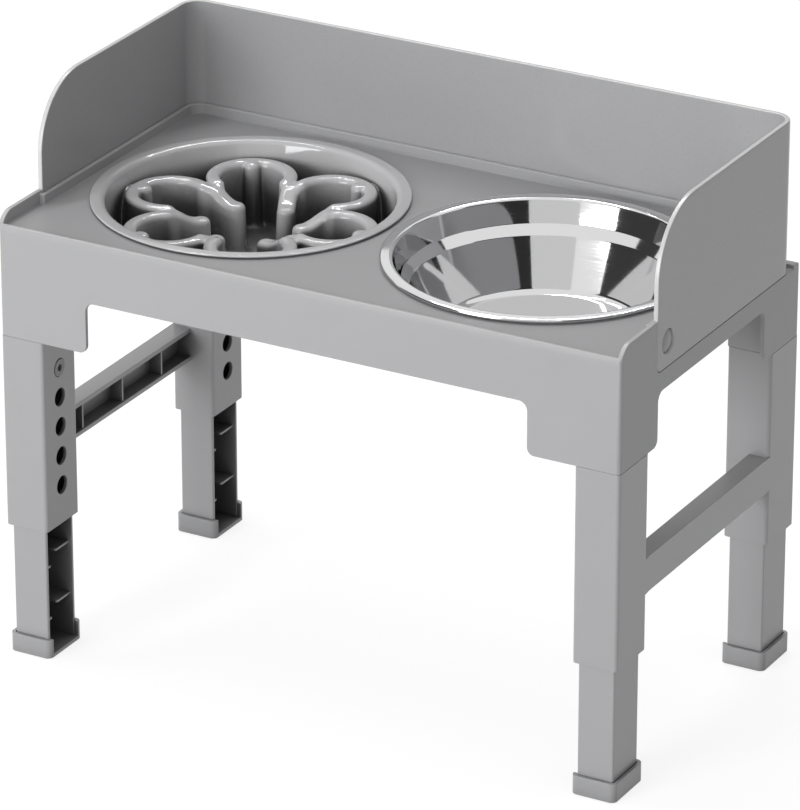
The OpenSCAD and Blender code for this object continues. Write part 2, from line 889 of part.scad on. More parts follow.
// Inner leg, drawn from the tube's outer corner
module inner_leg() {
    translate([0, 0, foot_floor])
        linear_extrude(leg_top - foot_floor)
            translate([leg_inset, leg_inset])
                difference() {
                    translate([leg_width / 2, leg_depth / 2])
                        rounded_rect(leg_width, leg_depth, leg_corner_r);
                    translate([leg_wall, leg_wall])
                        square([leg_width, leg_hollow_y]);
                }
    for (k = [0 : rib_count - 1])
        translate([leg_hollow_x - over, leg_inset + leg_wall, rib_rise + k * rib_pitch]) {
            linear_extrude(rib_thick)
                leg_rib();
            translate([rib_short - over, -over, -tab_drop])
                cube([rib_long - rib_short, tab_width + over, rib_thick]);
        }
    button_guide();
}

// Round guide for the button's collar, on the leg's back wall
module button_guide() {
    web = rib_thick;
    web_start = guide_r + guide_wall / 2;
    length = guide_end - leg_hollow_x + over;
    translate([0, tube_middle, hole_z])
        rotate([0, 90, 0])
            difference() {
                translate([0, 0, leg_hollow_x - over])
                    cylinder(r = guide_r + guide_wall, h = length);
                translate([0, 0, spring_start])
                    cylinder(r = guide_r, h = guide_end - spring_start + over);
            }
    for (s = [-1, 1])
        translate([leg_hollow_x - over, tube_middle + s * web_start, hole_z - web / 2])
            mirror([0, s < 0 ? 1 : 0, 0])
                cube([length, leg_hollow_y / 2 - web_start + over, web]);
}

// Shallow cup under an inner leg, open on its inner side
module foot() {
    difference() {
        linear_extrude(foot_height)
            tube_plan(0, foot_corner_r);
        translate([0, 0, foot_floor])
            linear_extrude(foot_height)
                tube_plan(foot_wall, foot_inner_r);
        translate([tube_width - foot_wall - over, foot_return, foot_floor])
            cube([foot_wall + 2 * over, tube_depth - 2 * foot_return, foot_height]);
    }
}

// Button with its collar, hollow behind for the spring
module lock_button() {
    translate([0, tube_middle, hole_z])
        rotate([0, 90, 0])
            difference() {
                union() {
                    translate([0, 0, collar_back])
                        cylinder(d = collar_d, h = collar_length);
                    translate([0, 0, collar_face - over])
                        cylinder(d = button_d, h = button_face - collar_face + over);
                }
                translate([0, 0, collar_back - over])
                    cylinder(d = cup_d, h = collar_length - cup_floor + over);
                translate([0, 0, button_face - button_hole_depth])
                    cylinder(d = button_hole_d, h = button_hole_depth + over);
            }
}

// Wire coil between the guide's floor and the button, one unbroken tube
coil_sides = 6;
coil_rings = 8;
coil_length = spring_end - spring_start - wire_d;
coil_pitch = coil_length / coil_turns;
function coil_point(t) =
    [spring_start + wire_d / 2 + t * coil_pitch,
     tube_middle + coil_d / 2 * cos(360 * t),
     hole_z + coil_d / 2 * sin(360 * t)];
function coil_ring(t) = [
    for (s = [0 : coil_sides - 1])
        let (a = 360 * s / coil_sides,
             out = [0, cos(360 * t), sin(360 * t)],
             along = [1, 0, 0])
        coil_point(t) + wire_d / 2 * (cos(a) * out + sin(a) * along)
];

module button_spring() {
    count = coil_turns * coil_rings;
    last = count * coil_sides;
    points = [for (k = [0 : count]) each coil_ring(k / coil_rings)];
    sides = [
        for (k = [0 : count - 1], s = [0 : coil_sides - 1])
            let (a = k * coil_sides + s,
                 b = k * coil_sides + (s + 1) % coil_sides)
            each [[a, b, b + coil_sides], [a, b + coil_sides, a + coil_sides]]
    ];
    caps = [
        for (s = [1 : coil_sides - 2])
            each [[0, s + 1, s], [last, last + s, last + s + 1]]
    ];
    polyhedron(points, concat(sides, caps));
}

// The same leg serves all four corners: it is turned half a turn from left to
// right, so its long rib sides lie to the back on the left and to the front on the right
module turned_leg(side, end) {
    at_corner(side, end)
        translate([0, side == end ? 0 : tube_depth, 0])
            mirror([0, side == end ? 0 : 1, 0])
                inner_leg();
}

module leg(side, end) {
    color(shell_grey)
        turned_leg(side, end);
}

module corner_foot(side, end) {
    color(shell_grey)
        at_corner(side, end)
            foot();
}

module corner_button(side, end) {
    color(bowl_grey)
        at_corner(side, end)
            lock_button();
}

module corner_spring(side, end) {
    color(steel)
        at_corner(side, end)
            button_spring();
}

table_top();
splash_guard();
steel_bowl();
slow_feeder_bowl();
slow_feeder_lobe(1);  // slow_feeder_lobe_1
slow_feeder_lobe(2);  // slow_feeder_lobe_2
slow_feeder_lobe(3);  // slow_feeder_lobe_3
slow_feeder_lobe(4);  // slow_feeder_lobe_4
slow_feeder_lobe(5);  // slow_feeder_lobe_5
slow_feeder_lobe(6);  // slow_feeder_lobe_6
leg_frame(left);  // left_leg_frame
leg_frame(right);  // right_leg_frame
leg(left, front);  // front_left_leg
leg(right, front);  // front_right_leg
leg(left, rear);  // rear_left_leg
leg(right, rear);  // rear_right_leg
corner_foot(left, front);  // front_left_foot
corner_foot(right, front);  // front_right_foot
corner_foot(left, rear);  // rear_left_foot
corner_foot(right, rear);  // rear_right_foot
corner_button(left, front);  // front_left_button
corner_button(right, front);  // front_right_button
corner_button(left, rear);  // rear_left_button
corner_button(right, rear);  // rear_right_button
corner_spring(left, front);  // front_left_spring
corner_spring(right, front);  // front_right_spring
corner_spring(left, rear);  // rear_left_spring
corner_spring(right, rear);  // rear_right_spring
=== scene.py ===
# %% [markdown]
# # A raised feeder stand for a dog
#
# The stand is a moulded grey tray on two plug-in leg frames. A low splash guard
# closes three sides, and two bowls drop into the tray: a slow feeder with a maze
# inside, and a polished steel bowl. The exact solids come from the CAD model, so
# this lesson starts by loading them as a fixed frame. Everything made here is in
# metres and in the same frame, and each new piece rides on a body of that frame.

# %% Load the solids
import json
import math

import bmesh
import bpy
import numpy as np
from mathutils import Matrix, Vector


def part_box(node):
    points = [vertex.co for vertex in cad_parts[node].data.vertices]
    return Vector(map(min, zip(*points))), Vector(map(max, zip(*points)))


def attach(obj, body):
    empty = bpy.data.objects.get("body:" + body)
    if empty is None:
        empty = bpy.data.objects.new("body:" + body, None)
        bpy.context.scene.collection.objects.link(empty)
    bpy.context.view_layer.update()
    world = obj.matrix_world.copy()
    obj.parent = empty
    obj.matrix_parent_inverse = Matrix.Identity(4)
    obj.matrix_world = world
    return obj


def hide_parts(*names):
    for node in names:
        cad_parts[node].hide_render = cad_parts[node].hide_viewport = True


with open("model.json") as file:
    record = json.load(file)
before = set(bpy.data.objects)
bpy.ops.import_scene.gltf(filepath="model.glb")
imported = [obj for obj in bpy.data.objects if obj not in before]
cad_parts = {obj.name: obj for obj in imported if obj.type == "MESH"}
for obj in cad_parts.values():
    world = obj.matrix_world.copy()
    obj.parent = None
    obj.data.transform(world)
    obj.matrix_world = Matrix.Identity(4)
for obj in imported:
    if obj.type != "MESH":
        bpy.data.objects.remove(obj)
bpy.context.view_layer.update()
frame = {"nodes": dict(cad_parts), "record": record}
nodes = frame["nodes"]
scene = bpy.context.scene
MM = 0.001

# %% [markdown]
# ## Round edges on the mouldings
#
# Every edge of an injection moulding is slightly round, because a sharp corner in
# the mould would wear and stick. That small radius is what catches a thin line of
# light along each edge. It could be modelled in the solids, but a Bevel modifier
# does it without touching the mesh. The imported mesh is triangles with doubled
# points, so a small geometry-node group first joins the points and forgets the
# stored normals, and Decimate melts the triangles of each flat face into one.

# %% Geometry nodes that join the doubled points
JOIN_DISTANCE = 0.01 * MM


def joined_skin_nodes():
    tree = bpy.data.node_groups.new("joined skin", "GeometryNodeTree")
    tree.interface.new_socket("Geometry", in_out="INPUT", socket_type="NodeSocketGeometry")
    tree.interface.new_socket("Geometry", in_out="OUTPUT", socket_type="NodeSocketGeometry")
    start = tree.nodes.new("NodeGroupInput")
    forget = tree.nodes.new("GeometryNodeRemoveAttribute")
    forget.inputs["Name"].default_value = "custom_normal"
    join = tree.nodes.new("GeometryNodeMergeByDistance")
    join.inputs["Distance"].default_value = JOIN_DISTANCE
    smooth = tree.nodes.new("GeometryNodeSetShadeSmooth")
    end = tree.nodes.new("NodeGroupOutput")
    chain = [start, forget, join, smooth, end]
    for before, after in zip(chain, chain[1:]):
        tree.links.new(before.outputs[0], after.inputs[0])
    return tree


joined_skin = joined_skin_nodes()
print("node group:", joined_skin.name, len(joined_skin.nodes), "nodes")

# %% Rounded edges for each moulding
FLAT_ANGLE = math.radians(0.6)
EDGE_ANGLE = math.radians(28)
EDGE_SEGMENTS = 3


def round_edges(piece, radius):
    skin = piece.modifiers.new("joined skin", "NODES")
    skin.node_group = joined_skin
    flat = piece.modifiers.new("flat faces", "DECIMATE")
    flat.decimate_type = "DISSOLVE"
    flat.angle_limit = FLAT_ANGLE
    edge = piece.modifiers.new("round edges", "BEVEL")
    edge.width = radius
    edge.segments = EDGE_SEGMENTS
    edge.limit_method = "ANGLE"
    edge.angle_limit = EDGE_ANGLE
    edge.use_clamp_overlap = False
    weighted = piece.modifiers.new("weighted normals", "WEIGHTED_NORMAL")
    weighted.keep_sharp = False


EDGE_RADIUS = {
    "table_top": 0.5 * MM,
    "splash_guard": 0.8 * MM,
    "leg_frame": 0.3 * MM,
    "leg": 0.3 * MM,
    "foot": 0.3 * MM,
    "button": 0.4 * MM,
}
for name, piece in nodes.items():
    for ending, radius in EDGE_RADIUS.items():
        if name.endswith(ending):
            round_edges(piece, radius)
print("rounded:", sum(1 for p in nodes.values() if p.modifiers), "mouldings")

# %% [markdown]
# ## Grain of moulded plastic
#
# The mouldings are grey polypropylene with a satin skin: the mould's surface is
# spark-eroded, which leaves a grain too fine to see as bumps, but which spreads the
# highlights. The colour also clouds a little where the melt flowed. Several
# materials share this, so it is one node group with its own sockets, and each
# material sets its own values.

# %% The shared grain group
CLOUD_SCALE, CLOUD_DETAIL = 14, 3
GRAIN_DETAIL = 2
NOISE_LOW, NOISE_HIGH = 0.3, 0.7


def mould_grain_nodes():
    tree = bpy.data.node_groups.new("mould grain", "ShaderNodeTree")
    face = tree.interface
    for title, kind, value in (
        ("Colour", "NodeSocketColor", (0.4, 0.4, 0.4, 1)),
        ("Cloud", "NodeSocketFloat", 0.05),
        ("Smoothest", "NodeSocketFloat", 0.35),
        ("Roughest", "NodeSocketFloat", 0.5),
        ("Grain Scale", "NodeSocketFloat", 900.0),
    ):
        socket = face.new_socket(title, in_out="INPUT", socket_type=kind)
        socket.default_value = value
    for title, kind in (
        ("Colour", "NodeSocketColor"),
        ("Roughness", "NodeSocketFloat"),
        ("Height", "NodeSocketFloat"),
    ):
        face.new_socket(title, in_out="OUTPUT", socket_type=kind)
    start = tree.nodes.new("NodeGroupInput")
    end = tree.nodes.new("NodeGroupOutput")
    place = tree.nodes.new("ShaderNodeTexCoord")
    cloud = tree.nodes.new("ShaderNodeTexNoise")
    cloud.inputs["Scale"].default_value = CLOUD_SCALE
    cloud.inputs["Detail"].default_value = CLOUD_DETAIL
    grain = tree.nodes.new("ShaderNodeTexNoise")
    grain.inputs["Detail"].default_value = GRAIN_DETAIL
    tree.links.new(place.outputs["Object"], cloud.inputs["Vector"])
    tree.links.new(place.outputs["Object"], grain.inputs["Vector"])
    tree.links.new(start.outputs["Grain Scale"], grain.inputs["Scale"])

    centred = tree.nodes.new("ShaderNodeMath")
    centred.operation = "SUBTRACT"
    centred.inputs[1].default_value = 0.5
    amount = tree.nodes.new("ShaderNodeMath")
    amount.operation = "MULTIPLY_ADD"
    amount.inputs[2].default_value = 1.0
    tree.links.new(cloud.outputs["Fac"], centred.inputs[0])
    tree.links.new(centred.outputs[0], amount.inputs[0])
    tree.links.new(start.outputs["Cloud"], amount.inputs[1])
    tint = tree.nodes.new("ShaderNodeVectorMath")
    tint.operation = "SCALE"
    tree.links.new(start.outputs["Colour"], tint.inputs[0])
    tree.links.new(amount.outputs[0], tint.inputs["Scale"])
    tree.links.new(tint.outputs[0], end.inputs["Colour"])

    gloss = tree.nodes.new("ShaderNodeMapRange")
    gloss.inputs["From Min"].default_value = NOISE_LOW
    gloss.inputs["From Max"].default_value = NOISE_HIGH
    tree.links.new(grain.outputs["Fac"], gloss.inputs["Value"])
    tree.links.new(start.outputs["Smoothest"], gloss.inputs["To Min"])
    tree.links.new(start.outputs["Roughest"], gloss.inputs["To Max"])
    tree.links.new(gloss.outputs["Result"], end.inputs["Roughness"])
    tree.links.new(grain.outputs["Fac"], end.inputs["Height"])
    return tree


mould_grain = mould_grain_nodes()
print("node group:", mould_grain.name, [s.name for s in mould_grain.interface.items_tree])

# %% Plastic finishes made from it
PLASTIC_IOR = 1.49
GRAIN_STRENGTH = 0.15


def plastic(title, grey, cloud, smoothest, roughest, grain_scale, depth, specular=0.5):
    finish = bpy.data.materials.new(title)
    finish.use_nodes = True
    tree = finish.node_tree
    shader = tree.nodes["Principled BSDF"]
    shader.inputs["IOR"].default_value = PLASTIC_IOR
    shader.inputs["Specular IOR Level"].default_value = specular
    group = tree.nodes.new("ShaderNodeGroup")
    group.node_tree = mould_grain
    group.inputs["Colour"].default_value = (*grey, 1)
    group.inputs["Cloud"].default_value = cloud
    group.inputs["Smoothest"].default_value = smoothest
    group.inputs["Roughest"].default_value = roughest
    group.inputs["Grain Scale"].default_value = grain_scale
    bump = tree.nodes.new("ShaderNodeBump")
    bump.inputs["Strength"].default_value = GRAIN_STRENGTH
    bump.inputs["Distance"].default_value = depth
    tree.links.new(group.outputs["Colour"], shader.inputs["Base Color"])
    tree.links.new(group.outputs["Roughness"], shader.inputs["Roughness"])
    tree.links.new(group.outputs["Height"], bump.inputs["Height"])
    tree.links.new(bump.outputs["Normal"], shader.inputs["Normal"])
    return finish


SATIN_GREY = (0.352, 0.352, 0.36)
TRAY_GREY = (0.38, 0.38, 0.388)
BUTTON_GREY = (0.2, 0.2, 0.205)
FEEDER_GREY = (0.54, 0.54, 0.548)
satin_grey = plastic(
    "satin grey moulding", SATIN_GREY, cloud=0.06,
    smoothest=0.28, roughest=0.36, grain_scale=1400, depth=0.05 * MM,
)
tray_grey = plastic(
    "satin grey tray", TRAY_GREY, cloud=0.06,
    smoothest=0.34, roughest=0.42, grain_scale=1400, depth=0.05 * MM, specular=0.2,
)
guard_grey = plastic(
    "satin grey guard", SATIN_GREY, cloud=0.05,
    smoothest=0.26, roughest=0.34, grain_scale=1600, depth=0.05 * MM,
)
button_grey = plastic(
    "grey button", BUTTON_GREY, cloud=0.05,
    smoothest=0.26, roughest=0.34, grain_scale=1400, depth=0.04 * MM,
)
feeder_grey = plastic(
    "glossy grey feeder", FEEDER_GREY, cloud=0.05,
    smoothest=0.03, roughest=0.05, grain_scale=500, depth=0.01 * MM,
)
print("finishes:", [m.name for m in (satin_grey, tray_grey, guard_grey, button_grey, feeder_grey)])

# %% [markdown]
# ## Painted edge highlights and painted pocket shade
#
# Two kinds of light and shade are painted into the plastic's colour. The rounded
# rim of the guard and the lip of the tray get a painted highlight, so they look paler
# than their walls. And deep pockets get painted shade, so the slow feeder darkens
# towards its floor, and so do the legs' channels. Each is a node group. The first
# gives a mask for the painted highlight from the direction and place of a face. The
# second paints shade, darkening a colour by how hidden a spot is, read with the
# Ambient Occlusion node.

# %% Group for the painted edge highlight
HIGHLIGHT_START, HIGHLIGHT_FULL = 0.35, 0.8


# A mask for the painted highlight: faces turned up above a height, or turned to the front ahead of a
# line.
def painted_highlight_nodes():
    tree = bpy.data.node_groups.new("painted edge highlight", "ShaderNodeTree")
    face = tree.interface
    face.new_socket("Lowest", in_out="INPUT", socket_type="NodeSocketFloat")
    face.new_socket("Rearmost", in_out="INPUT", socket_type="NodeSocketFloat")
    face.new_socket("Mask", in_out="OUTPUT", socket_type="NodeSocketFloat")
    start = tree.nodes.new("NodeGroupInput")
    end = tree.nodes.new("NodeGroupOutput")
    place = tree.nodes.new("ShaderNodeTexCoord")
    spot = tree.nodes.new("ShaderNodeSeparateXYZ")
    facing = tree.nodes.new("ShaderNodeSeparateXYZ")
    tree.links.new(place.outputs["Object"], spot.inputs[0])
    tree.links.new(place.outputs["Normal"], facing.inputs[0])

    def edge(direction, sign, where, limit, test):
        turned_to = tree.nodes.new("ShaderNodeMapRange")
        turned_to.inputs["From Min"].default_value = sign * HIGHLIGHT_START
        turned_to.inputs["From Max"].default_value = sign * HIGHLIGHT_FULL
        inside = tree.nodes.new("ShaderNodeMath")
        inside.operation = test
        both = tree.nodes.new("ShaderNodeMath")
        both.operation = "MULTIPLY"
        tree.links.new(facing.outputs[direction], turned_to.inputs["Value"])
        tree.links.new(spot.outputs[where], inside.inputs[0])
        tree.links.new(start.outputs[limit], inside.inputs[1])
        tree.links.new(turned_to.outputs["Result"], both.inputs[0])
        tree.links.new(inside.outputs[0], both.inputs[1])
        return both.outputs[0]

    either = tree.nodes.new("ShaderNodeMath")
    either.operation = "MAXIMUM"
    tree.links.new(edge("Z", 1, "Z", "Lowest", "GREATER_THAN"), either.inputs[0])
    tree.links.new(edge("Y", -1, "Y", "Rearmost", "LESS_THAN"), either.inputs[1])
    tree.links.new(either.outputs[0], end.inputs["Mask"])
    return tree


painted_highlight = painted_highlight_nodes()
print("node group:", painted_highlight.name, [s.name for s in painted_highlight.interface.items_tree])

# %% Group for the painted pocket shade
POCKET_DEEP, POCKET_OPEN = 0.3, 0.62
POCKET_SAMPLES = 8


# Painted shade: the colour is scaled down where the Ambient Occlusion node finds a spot hidden.
def painted_shade_nodes():
    tree = bpy.data.node_groups.new("painted pocket shade", "ShaderNodeTree")
    face = tree.interface
    face.new_socket("Colour", in_out="INPUT", socket_type="NodeSocketColor")
    face.new_socket("Reach", in_out="INPUT", socket_type="NodeSocketFloat")
    face.new_socket("Darkest", in_out="INPUT", socket_type="NodeSocketFloat")
    face.new_socket("Colour", in_out="OUTPUT", socket_type="NodeSocketColor")
    start = tree.nodes.new("NodeGroupInput")
    end = tree.nodes.new("NodeGroupOutput")
    hidden = tree.nodes.new("ShaderNodeAmbientOcclusion")
    hidden.samples = POCKET_SAMPLES
    shade = tree.nodes.new("ShaderNodeMapRange")
    shade.inputs["From Min"].default_value = POCKET_DEEP
    shade.inputs["From Max"].default_value = POCKET_OPEN
    darker = tree.nodes.new("ShaderNodeVectorMath")
    darker.operation = "SCALE"
    tree.links.new(start.outputs["Reach"], hidden.inputs["Distance"])
    tree.links.new(hidden.outputs["AO"], shade.inputs["Value"])
    tree.links.new(start.outputs["Darkest"], shade.inputs["To Min"])
    tree.links.new(start.outputs["Colour"], darker.inputs[0])
    tree.links.new(shade.outputs["Result"], darker.inputs["Scale"])
    tree.links.new(darker.outputs[0], end.inputs["Colour"])
    return tree


painted_shade = painted_shade_nodes()
print("node group:", painted_shade.name, [s.name for s in painted_shade.interface.items_tree])

# %% Put the painted highlight and the painted shade into the finishes
COLOUR_A, COLOUR_B, COLOUR_RESULT = 6, 7, 2


# Painted highlight: mix a paler grey into the colour where the mask holds.
def paint_edge_highlight(finish, lowest, rearmost, grey):
    tree = finish.node_tree
    target = tree.nodes["Principled BSDF"].inputs["Base Color"]
    group = tree.nodes.new("ShaderNodeGroup")
    group.node_tree = painted_highlight
    group.inputs["Lowest"].default_value = lowest
    group.inputs["Rearmost"].default_value = rearmost
    highlight_mix = tree.nodes.new("ShaderNodeMix")
    highlight_mix.data_type = "RGBA"
    plain_colour = target.links[0].from_socket
    tree.links.new(group.outputs["Mask"], highlight_mix.inputs["Factor"])
    tree.links.new(plain_colour, highlight_mix.inputs[COLOUR_A])
    highlight_mix.inputs[COLOUR_B].default_value = (grey, grey, grey, 1)
    tree.links.new(highlight_mix.outputs[COLOUR_RESULT], target)


# Painted shade: darken the colour in pockets and hollows.
def paint_pocket_shade(finish, reach, darkest):
    tree = finish.node_tree
    target = tree.nodes["Principled BSDF"].inputs["Base Color"]
    group = tree.nodes.new("ShaderNodeGroup")
    group.node_tree = painted_shade
    group.inputs["Reach"].default_value = reach
    group.inputs["Darkest"].default_value = darkest
    plain_colour = target.links[0].from_socket
    tree.links.new(plain_colour, group.inputs["Colour"])
    tree.links.new(group.outputs["Colour"], target)


def furthest(piece, axis):
    return max(v.co[axis] for v in piece.data.vertices)


END_WALL_RISE = 7 * MM
DECK_SIDE = 0.7 * MM
GUARD_CORNER = 30 * MM
NOWHERE = -10.0
Y_AXIS, Z_AXIS = 1, 2
tray_lip = furthest(nodes["table_top"], Z_AXIS) - END_WALL_RISE - DECK_SIDE
guard_rear = furthest(nodes["splash_guard"], Y_AXIS) - GUARD_CORNER
# Painted highlight on the tray's top edges, and on the guard's rim and front edges.
paint_edge_highlight(tray_grey, lowest=tray_lip, rearmost=NOWHERE, grey=0.5)
paint_edge_highlight(guard_grey, lowest=NOWHERE, rearmost=guard_rear, grey=0.62)
# Painted shade in the slow feeder's pockets and in the hollows of the satin grey mouldings, such as
# the legs' channels.
paint_pocket_shade(feeder_grey, reach=50 * MM, darkest=0.12)
paint_pocket_shade(satin_grey, reach=45 * MM, darkest=0.25)
print("pale edges above", round(tray_lip / MM, 1), "mm on the tray")

# %% [markdown]
# ## Polished steel
#
# The steel bowl is pressed from sheet and polished on a spinning wheel, so it
# mirrors the room, and only very fine rings are left in it. A plain mirror looks
# like chrome plate. Fine rings in the roughness, read from the distance to the
# bowl's axis and its height, keep it steel. The spring wire uses the same rings.

# %% The steel finish
RING_DETAIL = 4
RING_STRENGTH = 0.1


def polished_rings_nodes():
    tree = bpy.data.node_groups.new("polished rings", "ShaderNodeTree")
    face = tree.interface
    for title, value in (("Ring Scale", 900.0), ("Smoothest", 0.03), ("Roughest", 0.1)):
        socket = face.new_socket(title, in_out="INPUT", socket_type="NodeSocketFloat")
        socket.default_value = value
    face.new_socket("Roughness", in_out="OUTPUT", socket_type="NodeSocketFloat")
    face.new_socket("Height", in_out="OUTPUT", socket_type="NodeSocketFloat")
    start = tree.nodes.new("NodeGroupInput")
    end = tree.nodes.new("NodeGroupOutput")
    place = tree.nodes.new("ShaderNodeTexCoord")
    parts = tree.nodes.new("ShaderNodeSeparateXYZ")
    flat = tree.nodes.new("ShaderNodeCombineXYZ")
    radius = tree.nodes.new("ShaderNodeVectorMath")
    radius.operation = "LENGTH"
    ring = tree.nodes.new("ShaderNodeCombineXYZ")
    lines = tree.nodes.new("ShaderNodeTexNoise")
    lines.inputs["Detail"].default_value = RING_DETAIL
    tree.links.new(place.outputs["Object"], parts.inputs[0])
    tree.links.new(parts.outputs["X"], flat.inputs["X"])
    tree.links.new(parts.outputs["Y"], flat.inputs["Y"])
    tree.links.new(flat.outputs[0], radius.inputs[0])
    tree.links.new(radius.outputs["Value"], ring.inputs["X"])
    tree.links.new(parts.outputs["Z"], ring.inputs["Y"])
    tree.links.new(ring.outputs[0], lines.inputs["Vector"])
    tree.links.new(start.outputs["Ring Scale"], lines.inputs["Scale"])
    gloss = tree.nodes.new("ShaderNodeMapRange")
    gloss.inputs["From Min"].default_value = NOISE_LOW
    gloss.inputs["From Max"].default_value = NOISE_HIGH
    tree.links.new(lines.outputs["Fac"], gloss.inputs["Value"])
    tree.links.new(start.outputs["Smoothest"], gloss.inputs["To Min"])
    tree.links.new(start.outputs["Roughest"], gloss.inputs["To Max"])
    tree.links.new(gloss.outputs["Result"], end.inputs["Roughness"])
    tree.links.new(lines.outputs["Fac"], end.inputs["Height"])
    return tree


def steel(title, colour, smoothest, roughest, depth):
    finish = bpy.data.materials.new(title)
    finish.use_nodes = True
    tree = finish.node_tree
    shader = tree.nodes["Principled BSDF"]
    shader.inputs["Base Color"].default_value = (*colour, 1)
    shader.inputs["Metallic"].default_value = 1.0
    group = tree.nodes.new("ShaderNodeGroup")
    group.node_tree = polished_rings
    group.inputs["Smoothest"].default_value = smoothest
    group.inputs["Roughest"].default_value = roughest
    bump = tree.nodes.new("ShaderNodeBump")
    bump.inputs["Strength"].default_value = RING_STRENGTH
    bump.inputs["Distance"].default_value = depth
    tree.links.new(group.outputs["Roughness"], shader.inputs["Roughness"])
    tree.links.new(group.outputs["Height"], bump.inputs["Height"])
    tree.links.new(bump.outputs["Normal"], shader.inputs["Normal"])
    return finish


polished_rings = polished_rings_nodes()
POLISHED = (0.7, 0.7, 0.705)
DRAWN_WIRE = (0.6, 0.6, 0.62)
polished_steel = steel("polished steel", POLISHED, smoothest=0.03, roughest=0.09, depth=0.004 * MM)
spring_wire = steel("spring wire", DRAWN_WIRE, smoothest=0.2, roughest=0.35, depth=0.01 * MM)
print("finishes:", polished_steel.name, "and", spring_wire.name)

# %% Finishes on the solids
FINISH_OF_SLOT = {
    "body": satin_grey,
    "guard": guard_grey,
    "foot": satin_grey,
    "button": button_grey,
    "feeder": feeder_grey,
    "steel": polished_steel,
    "spring": spring_wire,
}
for part in frame["record"]["subparts"]:
    piece = nodes[part["node"]]
    piece.data.materials.clear()
    piece.data.materials.append(FINISH_OF_SLOT[part["material_slot"]])
nodes["table_top"].data.materials[0] = tray_grey

# %% [markdown]
# ## A lathe for the bowls
#
# Both bowls are round about an upright axis. On the real ones a spinning tool or a
# turned mould makes that shape. In Blender a Screw modifier could turn a profile,
# but a few lines of code give closed meshes with even points, so a profile of
# corners with radii is first turned into a chain of points, and the chain into
# rings.

# %% Profile with round corners, and its rings
LATHE_SEGMENTS = 192
CORNER_STEPS = 8
ON_AXIS = 1e-9


def rounded_chain(corners):
    """Each corner is its distance from the axis, its height and its radius."""
    chain = []
    count = len(corners)
    for i, (x, z, r) in enumerate(corners):
        here = Vector((x, z))
        if r == 0:
            chain.append(here)
            continue
        before = (Vector(corners[i - 1][:2]) - here).normalized()
        after = (Vector(corners[(i + 1) % count][:2]) - here).normalized()
        half = before.angle(after) / 2
        centre = here + (before + after).normalized() * (r / math.sin(half))
        first = here + before * (r / math.tan(half)) - centre
        last = here + after * (r / math.tan(half)) - centre
        turn = math.pi - 2 * half
        for k in range(CORNER_STEPS + 1):
            t = turn * k / CORNER_STEPS
            chain.append(centre + (first * math.sin(turn - t) + last * math.sin(t)) / math.sin(turn))
    return chain


def turned(title, chain, axis_x, axis_y):
    off_axis = [p for p in chain if p.x > ON_AXIS]
    angles = [2 * math.pi * k / LATHE_SEGMENTS for k in range(LATHE_SEGMENTS)]
    shape = bmesh.new()
    rings = [
        [shape.verts.new((p.x * math.cos(a), p.x * math.sin(a), p.y)) for a in angles]
        for p in off_axis
    ]
    for low, high in zip(rings, rings[1:]):
        for k in range(LATHE_SEGMENTS):
            n = (k + 1) % LATHE_SEGMENTS
            shape.faces.new((low[k], low[n], high[n], high[k]))
    for ring, end in ((rings[0], chain[0]), (rings[-1], chain[-1])):
        point = shape.verts.new((0, 0, end.y))
        for k in range(LATHE_SEGMENTS):
            n = (k + 1) % LATHE_SEGMENTS
            shape.faces.new((ring[k], ring[n], point))
    bmesh.ops.recalc_face_normals(shape, faces=shape.faces)
    mesh = bpy.data.meshes.new(title)
    shape.to_mesh(mesh)
    shape.free()
    mesh.shade_smooth()
    piece = bpy.data.objects.new(title, mesh)
    piece.location = (axis_x, axis_y, 0)
    scene.collection.objects.link(piece)
    return piece


print("lathe of", LATHE_SEGMENTS, "segments")

# %% [markdown]
# ## The steel bowl
#
# A rolled rim, a short leaning wall, a ledge that stiffens it, and a lower wall
# that runs in to a flat floor. The rim rests on the tray, so its underside is at
# the tray's height, but its outer edge curls up a little and leaves a thin dark gap.
# The profile runs from the axis at the underside, out and up to the rim, and back
# along the inside to the axis.

